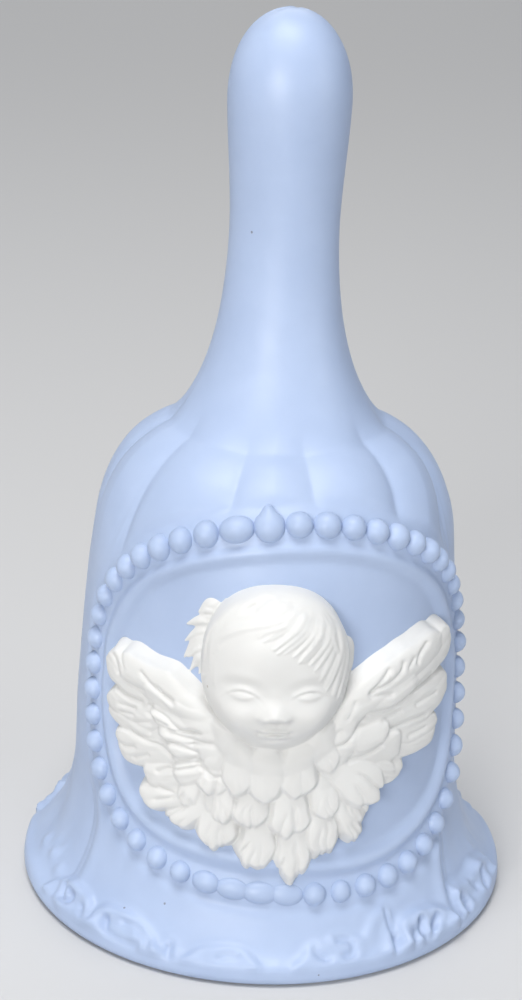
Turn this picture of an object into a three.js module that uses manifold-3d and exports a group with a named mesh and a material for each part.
// A porcelain hand bell: one slip-cast blue bisque shell with a hollow handle, a white winged-cherub
// sprig in a beaded oval on its front, and a clapper that hangs on a short wire chain inside.
// Millimetres, +Z up. The origin is the centre of the foot ring, and the cherub faces -Y.
import * as THREE from "three";
import { mergeVertices } from "three/addons/utils/BufferGeometryUtils.js";
import Module from "manifold-3d";

const wasm = await Module();
wasm.setup();

// ---- Driving dimensions ----
const HEIGHT = 140;
const RIM_RADIUS = 39.6;
const FOOT_OUTER = 38.4;
const FOOT_INNER = 35.8;
const CAVITY_TOP = 136.4; // top of the hollow in the handle
const BELL_SEGMENTS = 40;
const CURVE_STEPS = 4; // points on each stretch of the bell's profile
const WALL_STEPS = 24; // the same, where other pieces are laid on the wall
const LIP_TOP = { r: 39.3, z: 2.5 }; // where the rounded lip meets the flare

const OVAL = {
  centreS: 2.1, // arc length round the wall from the front, to the right
  centreZ: 42.1,
  halfWidth: 37.6,
  above: { height: 27.2, squareness: 1.87 }, // exponents of two half superellipses
  below: { height: 29.9, squareness: 2.9 },
  tilt: THREE.MathUtils.degToRad(-3),
};
const BEADS = 50;
const BEAD_RADIUS = 1.9;
const BEAD_LIFT = 0.1; // how far a bead's centre stands off the wall
const BEAD_SIDES = 6;
const BEAD_RINGS = 4;
const OVAL_DIVISIONS = 400; // for an even pitch round the oval

const SEAT_GAP = 0.3; // bonded pieces keep this gap, which glue or fired slip fills
const WING_THICKNESS = 1.9;
const WING_COLUMNS = 24;
const WING_ROWS = 4;
const WING_TAIL_Z = 15;
const WING_LEFT = { s: -30.4, z: 46.5 }; // tips of the spread wings
const WING_RIGHT = { s: 29.4, z: 50.5 };
const WING_TIP_DEPTH = 7; // a wing's height at its tip
const WING_TOP_MIDDLE = 37; // upper edge of the breast, under the chin
const WING_SWEEP = { lower: 1.9, upper: 1.3 }; // exponents of the two edges
const HEAD = { s: -1.8, z: 48.6, halfWidth: 11, halfHeight: 11.8, proud: 6.2 };
const HEAD_SIDES = 18;
const HEAD_RINGS = 12;

const WIRE_RADIUS = 0.6;
const WIRE_SIDES = 8;
const LINK_STEPS = 24;
const WIRE_PLAY = 0.12; // slack where one wire loop hangs in another
const PLUG_BOTTOM = 79.4;
const PLUG_TOP = 85.4;
const PLUG_BOTTOM_RADIUS = 9.9;
const PLUG_TOP_RADIUS = 7.3;
const PLUG_SEGMENTS = 32;
const PLUG_HOLE_LENGTH = 12; // the staple's blind holes open at the plug's bottom
const PLUG_HOLE_SIDES = 12;
const STAPLE_HALF_WIDTH = 2.5;
const STAPLE_BOTTOM = 73;
const STAPLE_TOP = 84;
const STAPLE_STEPS = 36;
const LINKS = 7;
const LINK_LENGTH = 7.8; // along the wire's centreline, as are the width and the butt gap
const LINK_WIDTH = 4.6;
const LINK_BUTT_GAP = 0.25;

const BALL_RADIUS = 7.4;
const BALL_CENTRE = 13.2;
const BALL_SEGMENTS = 28;
const BALL_RINGS = 14;
const EYE_RADIUS = 2.2;
const EYE_OPENING = 0.75; // radians left open beside the shank
const EYE_STEPS = 24;
const SHANK_SIDES = 12;
const PIN_HOLE_RADIUS = 0.95;
const WASHER = { radius: 2.6, thickness: 0.5, segments: 20 };
const PIN_HEAD = { topRadius: 1.5, bottomRadius: 1.05, thickness: 0.9, sides: 16 };
const STACK_PLAY = { ball: 0.1, head: 0.25 }; // above the washer and below it

const COLOURS = {
  blueBisque: { color: 0x8fa5d6, roughness: 0.55, metalness: 0 },
  whiteBisque: { color: 0xeeece6, roughness: 0.6, metalness: 0 },
  cement: { color: 0xb9b4a8, roughness: 0.9, metalness: 0 },
  brass: { color: 0xb08d4a, roughness: 0.35, metalness: 1 },
};

// ---- Helpers ----
const material = (finish) => new THREE.MeshStandardMaterial(finish);

function named(name, geometry, finish) {
  const mesh = new THREE.Mesh(geometry, material(finish));
  mesh.name = name;
  return mesh;
}

function toSolid(geometry) {
  const bare = geometry.clone();
  bare.deleteAttribute("normal");
  bare.deleteAttribute("uv");
  const merged = mergeVertices(bare, 1e-4);
  return new wasm.Manifold(
    new wasm.Mesh({
      numProp: 3,
      vertProperties: new Float32Array(merged.attributes.position.array),
      triVerts: new Uint32Array(merged.index.array),
    }),
  );
}

function fromSolid(solid) {
  const mesh = solid.getMesh();
  const geometry = new THREE.BufferGeometry();
  const places = new THREE.BufferAttribute(mesh.vertProperties, 3);
  geometry.setAttribute("position", places);
  geometry.setIndex(new THREE.BufferAttribute(mesh.triVerts, 1));
  geometry.computeVertexNormals();
  return geometry;
}

// A lathe about +Z. The profile's points are (radius, height).
function latheZ(points, segments) {
  return new THREE.LatheGeometry(points, segments).rotateX(Math.PI / 2);
}

function wire(curve, steps) {
  const section = new THREE.Shape();
  for (let i = 0; i < WIRE_SIDES; i++) {
    const angle = (2 * Math.PI * i) / WIRE_SIDES;
    const x = WIRE_RADIUS * Math.cos(angle);
    const y = WIRE_RADIUS * Math.sin(angle);
    if (i === 0) section.moveTo(x, y);
    else section.lineTo(x, y);
  }
  return new THREE.ExtrudeGeometry(section, { steps, extrudePath: curve, bevelEnabled: false });
}

// ---- The bell's profile ----
// The outside, from the rim's lip up over the shoulder to the top of the handle.
function addOutside(path, lift = 0) {
  const to = (r1, z1, r2, z2, r3, z3) =>
    path.bezierCurveTo(r1 + lift, z1, r2 + lift, z2, r3 + lift, z3);
  to(36.6, 4.4, 32.5, 9.6, 31.6, 20); // flared rim
  to(30.9, 30, 29.9, 46, 28.4, 60.5); // bell wall
  to(27.8, 65.6, 25.6, 71.6, 20.4, 75.2); // shoulder
  path.lineTo(16.9 + lift, 77.2); // crown, up to the handle's foot
  to(12.1, 81.4, 8.4, 92, 8.15, 107); // handle's flare
  to(8.1, 113, 8.95, 119.5, 9.1, 126.5); // handle's swelling
  path.bezierCurveTo(9.2 + lift, 134.6, 5.2 + lift, HEIGHT + lift, 0, HEIGHT + lift);
}

// The inside, from the top of the hollow handle down to the foot.
function addInside(path) {
  path.moveTo(0, CAVITY_TOP);
  path.bezierCurveTo(3.6, CAVITY_TOP, 5.9, 132.5, 5.9, 126.5);
  path.bezierCurveTo(5.9, 119.5, 5, 113, 5, 106);
  path.bezierCurveTo(5.1, 95, 7, 86, 10.6, 79.6); // neck
  path.bezierCurveTo(12.5, 76, 16, 73.6, 18, 71.9);
  path.bezierCurveTo(22.6, 68.5, 24.6, 65, 25.2, 60.5); // under the shoulder
  path.bezierCurveTo(26.7, 46, 27.6, 32, 28.4, 20);
  path.bezierCurveTo(29.2, 11, 33, 5, FOOT_INNER, 0);
}

const wallPath = new THREE.Path();
wallPath.moveTo(LIP_TOP.r, LIP_TOP.z);
addOutside(wallPath);
const wallPoints = wallPath.getPoints(WALL_STEPS);

// The wall's outer radius at a height.
function wallRadius(z) {
  let i = 1;
  while (i < wallPoints.length - 1 && wallPoints[i].y < z) i++;
  const a = wallPoints[i - 1];
  const b = wallPoints[i];
  const share = THREE.MathUtils.clamp((z - a.y) / (b.y - a.y), 0, 1);
  return THREE.MathUtils.lerp(a.x, b.x, share);
}

// A point that stands off the wall: s is the arc length from the front, positive to the right.
function onWall(s, z, off) {
  const radius = wallRadius(z);
  const angle = s / radius;
  const reach = radius + off;
  return new THREE.Vector3(reach * Math.sin(angle), -reach * Math.cos(angle), z);
}

// ---- Bell body: shell, hollow handle and moulded beads, cast in one ----
class BeadOval extends THREE.Curve {
  getPoint(t, target = new THREE.Vector3()) {
    const angle = 2 * Math.PI * t;
    const half = Math.sin(angle) > 0 ? OVAL.above : OVAL.below;
    const round = (value) => Math.sign(value) * Math.abs(value) ** (2 / half.squareness);
    const across = OVAL.halfWidth * round(Math.cos(angle));
    const up = half.height * round(Math.sin(angle));
    const s = OVAL.centreS + across * Math.cos(OVAL.tilt) - up * Math.sin(OVAL.tilt);
    const z = OVAL.centreZ + across * Math.sin(OVAL.tilt) + up * Math.cos(OVAL.tilt);
    return target.copy(onWall(s, z, BEAD_LIFT));
  }
}

function bellBody() {
  const profile = new THREE.Path();
  addInside(profile);
  profile.lineTo(FOOT_OUTER, 0);
  profile.bezierCurveTo(39.2, 0, RIM_RADIUS, 0.7, RIM_RADIUS, 1.4);
  profile.lineTo(LIP_TOP.r, LIP_TOP.z);
  addOutside(profile);
  let body = toSolid(latheZ(profile.getPoints(CURVE_STEPS), BELL_SEGMENTS));
  const oval = new BeadOval();
  oval.arcLengthDivisions = OVAL_DIVISIONS;
  for (const place of oval.getSpacedPoints(BEADS).slice(0, BEADS)) {
    const bead = new THREE.SphereGeometry(BEAD_RADIUS, BEAD_SIDES, BEAD_RINGS);
    bead.translate(place.x, place.y, place.z);
    body = body.add(toSolid(bead));
  }
  return fromSolid(body);
}

// ---- Cherub relief: two wings, a breast of feathers and a head, one white sprig ----
// Lower and upper edge of the spread wings at an arc length across, from tail to tips.
function wingEdges(s) {
  const tip = s < 0 ? WING_LEFT : WING_RIGHT;
  const share = s / tip.s;
  const lowerRise = tip.z - WING_TIP_DEPTH - WING_TAIL_Z;
  const upperRise = tip.z - WING_TOP_MIDDLE;
  const lower = WING_TAIL_Z + lowerRise * share ** WING_SWEEP.lower;
  const upper = WING_TOP_MIDDLE + upperRise * share ** WING_SWEEP.upper;
  return [lower, upper];
}

function wings() {
  const places = [];
  for (const off of [SEAT_GAP, WING_THICKNESS]) {
    for (let i = 0; i <= WING_COLUMNS; i++) {
      const s = THREE.MathUtils.lerp(WING_LEFT.s, WING_RIGHT.s, i / WING_COLUMNS);
      const [lower, upper] = wingEdges(s);
      for (let j = 0; j <= WING_ROWS; j++) {
        const z = THREE.MathUtils.lerp(lower, upper, j / WING_ROWS);
        places.push(...onWall(s, z, off).toArray());
      }
    }
  }
  const rows = WING_ROWS + 1;
  const layer = rows * (WING_COLUMNS + 1);
  const index = [];
  const quad = (a, b, c, d) => index.push(a, b, c, a, c, d);
  for (let i = 0; i < WING_COLUMNS; i++) {
    for (let j = 0; j < WING_ROWS; j++) {
      const a = i * rows + j;
      quad(a, a + 1, a + rows + 1, a + rows); // back
      quad(layer + a, layer + a + rows, layer + a + rows + 1, layer + a + 1); // front
    }
    const low = i * rows;
    const high = low + WING_ROWS;
    quad(low, low + rows, layer + low + rows, layer + low);
    quad(high, layer + high, layer + high + rows, high + rows);
  }
  for (let j = 0; j < WING_ROWS; j++) {
    const left = j;
    const right = WING_COLUMNS * rows + j;
    quad(left, layer + left, layer + left + 1, left + 1);
    quad(right, right + 1, layer + right + 1, layer + right);
  }
  const geometry = new THREE.BufferGeometry();
  geometry.setAttribute("position", new THREE.Float32BufferAttribute(places, 3));
  geometry.setIndex(index);
  return toSolid(geometry);
}

// The part of the head that stands proud of the wall. Its seat is a cylinder about the bell's axis.
function cherubHead() {
  const head = new THREE.SphereGeometry(1, HEAD_SIDES, HEAD_RINGS);
  head.scale(HEAD.halfWidth, HEAD.proud, HEAD.halfHeight);
  const seatRadius = wallRadius(HEAD.z - HEAD.halfHeight) + SEAT_GAP;
  head.translate(0, -wallRadius(HEAD.z), HEAD.z);
  head.rotateZ(HEAD.s / wallRadius(HEAD.z));
  const seat = new THREE.CylinderGeometry(seatRadius, seatRadius, HEIGHT, BELL_SEGMENTS * 2);
  seat.rotateX(Math.PI / 2);
  seat.translate(0, 0, HEIGHT / 2);
  return toSolid(head).subtract(toSolid(seat));
}

function cherubRelief() {
  return fromSolid(wings().add(cherubHead()));
}

// ---- Clapper hanger: cement plug in the neck, with a wire staple set in it ----
class StapleCurve extends THREE.Curve {
  getPoint(t, target = new THREE.Vector3()) {
    const turn = STAPLE_BOTTOM + STAPLE_HALF_WIDTH; // height of the bend's centre
    const leg = STAPLE_TOP - turn;
    const bend = Math.PI * STAPLE_HALF_WIDTH;
    const along = t * (2 * leg + bend);
    if (along < leg) return target.set(-STAPLE_HALF_WIDTH, 0, STAPLE_TOP - along);
    if (along > leg + bend) {
      return target.set(STAPLE_HALF_WIDTH, 0, turn + along - leg - bend);
    }
    const angle = Math.PI + (along - leg) / STAPLE_HALF_WIDTH;
    const x = STAPLE_HALF_WIDTH * Math.cos(angle);
    const z = turn + STAPLE_HALF_WIDTH * Math.sin(angle);
    return target.set(x, 0, z);
  }
}

function crownPlug() {
  const profile = [
    new THREE.Vector2(0, PLUG_BOTTOM),
    new THREE.Vector2(PLUG_BOTTOM_RADIUS, PLUG_BOTTOM),
    new THREE.Vector2(PLUG_TOP_RADIUS, PLUG_TOP),
    new THREE.Vector2(0, PLUG_TOP),
  ];
  let plug = toSolid(latheZ(profile, PLUG_SEGMENTS));
  for (const side of [-1, 1]) {
    const radius = WIRE_RADIUS + SEAT_GAP;
    const hole = new THREE.CylinderGeometry(radius, radius, PLUG_HOLE_LENGTH, PLUG_HOLE_SIDES);
    hole.rotateX(Math.PI / 2);
    hole.translate(side * STAPLE_HALF_WIDTH, 0, STAPLE_TOP + SEAT_GAP - PLUG_HOLE_LENGTH / 2);
    plug = plug.subtract(toSolid(hole));
  }
  return fromSolid(plug);
}

// ---- Chain: oval butted links, each a quarter turn from the last ----
// A stadium in the XZ plane with its lowest wire centre at the origin.
class LinkCurve extends THREE.Curve {
  getPoint(t, target = new THREE.Vector3()) {
    const bendRadius = LINK_WIDTH / 2;
    const straight = LINK_LENGTH - LINK_WIDTH;
    const bend = Math.PI * bendRadius;
    const whole = 2 * straight + 2 * bend;
    const from = straight / 2 + LINK_BUTT_GAP / 2; // the ends meet halfway up one side
    let along = (from + t * (whole - LINK_BUTT_GAP)) % whole;
    if (along < straight) return target.set(bendRadius, 0, bendRadius + along);
    along -= straight;
    if (along < bend) {
      const angle = along / bendRadius;
      const x = bendRadius * Math.cos(angle);
      return target.set(x, 0, bendRadius + straight + bendRadius * Math.sin(angle));
    }
    along -= bend;
    if (along < straight) return target.set(-bendRadius, 0, bendRadius + straight - along);
    const angle = Math.PI + (along - straight) / bendRadius;
    const x = bendRadius * Math.cos(angle);
    return target.set(x, 0, bendRadius + bendRadius * Math.sin(angle));
  }
}

// A hanging loop's top wire sits just above the wire that it hangs on.
const hangingPitch = LINK_LENGTH - 2 * WIRE_RADIUS - WIRE_PLAY;

function chainLink(number) {
  const link = named(`chain_link_${number}`, wire(new LinkCurve(), LINK_STEPS), COLOURS.brass);
  link.position.z = STAPLE_BOTTOM - number * hangingPitch;
  link.rotation.z = number % 2 ? Math.PI / 2 : 0;
  return link;
}

// ---- Clapper: a bead threaded on an eye pin, held by a washer and the pin's head ----
const clapperHinge = STAPLE_BOTTOM - LINKS * hangingPitch;
const washerTop = BALL_CENTRE - BALL_RADIUS - STACK_PLAY.ball;
const washerBottom = washerTop - WASHER.thickness;

class EyeCurve extends THREE.Curve {
  constructor(centreZ) {
    super();
    this.centreZ = centreZ;
  }

  getPoint(t, target = new THREE.Vector3()) {
    const angle = -Math.PI / 2 + t * (2 * Math.PI - EYE_OPENING);
    const x = EYE_RADIUS * Math.cos(angle);
    return target.set(x, 0, this.centreZ + EYE_RADIUS * Math.sin(angle));
  }
}

function clapperPin() {
  const eyeTop = clapperHinge + 2 * WIRE_RADIUS + WIRE_PLAY;
  const eyeCentre = eyeTop - EYE_RADIUS;
  const shankTop = eyeCentre - EYE_RADIUS;
  const headCentre = washerBottom - STACK_PLAY.head - PIN_HEAD.thickness / 2;
  const shankLength = shankTop - headCentre; // the shank starts inside the head
  const shank = new THREE.CylinderGeometry(WIRE_RADIUS, WIRE_RADIUS, shankLength, SHANK_SIDES);
  shank.rotateX(Math.PI / 2);
  shank.translate(0, 0, headCentre + shankLength / 2);
  const { topRadius, bottomRadius, thickness, sides } = PIN_HEAD;
  const head = new THREE.CylinderGeometry(topRadius, bottomRadius, thickness, sides);
  head.rotateX(Math.PI / 2);
  head.translate(0, 0, headCentre);
  const eye = toSolid(wire(new EyeCurve(eyeCentre), EYE_STEPS));
  return fromSolid(eye.add(toSolid(shank)).add(toSolid(head)));
}

function clapperBall() {
  const profile = [];
  const from = Math.asin(PIN_HOLE_RADIUS / BALL_RADIUS);
  for (let i = 0; i <= BALL_RINGS; i++) {
    const angle = THREE.MathUtils.lerp(from, Math.PI - from, i / BALL_RINGS);
    const r = BALL_RADIUS * Math.sin(angle);
    profile.push(new THREE.Vector2(r, BALL_CENTRE - BALL_RADIUS * Math.cos(angle)));
  }
  profile.push(profile[0].clone());
  return latheZ(profile, BALL_SEGMENTS);
}

function pinWasher() {
  const profile = [
    new THREE.Vector2(PIN_HOLE_RADIUS, washerBottom),
    new THREE.Vector2(WASHER.radius, washerBottom),
    new THREE.Vector2(WASHER.radius, washerTop),
    new THREE.Vector2(PIN_HOLE_RADIUS, washerTop),
    new THREE.Vector2(PIN_HOLE_RADIUS, washerBottom),
  ];
  return latheZ(profile, WASHER.segments);
}

// ---- Assembly ----
const bell = new THREE.Group();
bell.add(
  named("bell_body", bellBody(), COLOURS.blueBisque),
  named("cherub_relief", cherubRelief(), COLOURS.whiteBisque),
  named("crown_plug", crownPlug(), COLOURS.cement),
  named("hanger_staple", wire(new StapleCurve(), STAPLE_STEPS), COLOURS.brass),
);
for (let number = 1; number <= LINKS; number++) bell.add(chainLink(number));
bell.add(
  named("clapper_pin", clapperPin(), COLOURS.brass),
  named("clapper_ball", clapperBall(), COLOURS.whiteBisque),
  named("clapper_washer", pinWasher(), COLOURS.brass),
);

export default bell;
